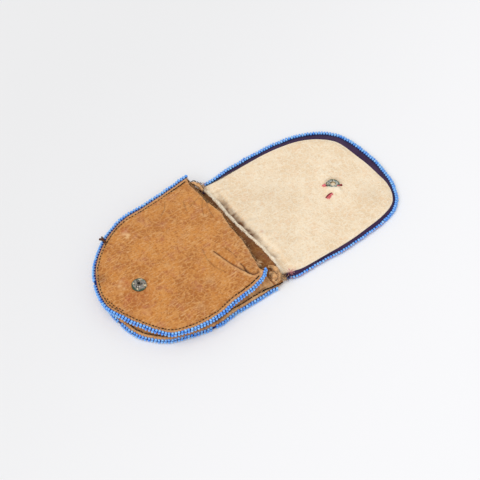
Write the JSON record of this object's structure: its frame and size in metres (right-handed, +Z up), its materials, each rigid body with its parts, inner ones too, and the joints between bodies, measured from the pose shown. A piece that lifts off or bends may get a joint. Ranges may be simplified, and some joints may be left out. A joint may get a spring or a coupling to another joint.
{
  "type": "beaded belt pouch",
  "caption": "Small hide belt pouch, worn flat on a belt, with a gusset, a long rounded flap closed by a sewn-on snap, and beads whipped over every edge.",
  "frame": {"origin": "on the ground, under the middle of the open pouch's box", "axes": "+Z up from the ground, +Y from the bottom of the body to the tip of the open flap, +X across the pouch"},
  "size_m": [0.1062, 0.2228, 0.0155],
  "materials": {
    "tan_hide": "smoked suede, worn",
    "cream_hide": "unsmoked suede, soiled",
    "purple_cloth": "plain woven cloth",
    "blue_beads": "opaque glossy seed beads",
    "snap_metal": "dull, greenish tarnish",
    "spring_wire": "drawn wire"
  },
  "bodies": {
    "pouch": {"back_panel": "tan_hide", "front_panel": "tan_hide", "gusset": "tan_hide", "back_bead_edging": "blue_beads", "front_bead_edging": "blue_beads", "belt_loop_left": "tan_hide", "belt_loop_right": "tan_hide", "snap_stud": "snap_metal"},
    "flap": {"flap_cover": "purple_cloth", "flap_lining": "cream_hide", "flap_bead_edging": "blue_beads", "snap_socket": "snap_metal", "snap_spring": "spring_wire"}
  },
  "joints": [
    {"name": "flap_hinge", "type": "hinge", "parent": "pouch", "child": "flap", "pos_m": [0, -0.0067, 0.00976], "axis": [1, 0, 0], "range_deg": [0, 180]}
  ]
}
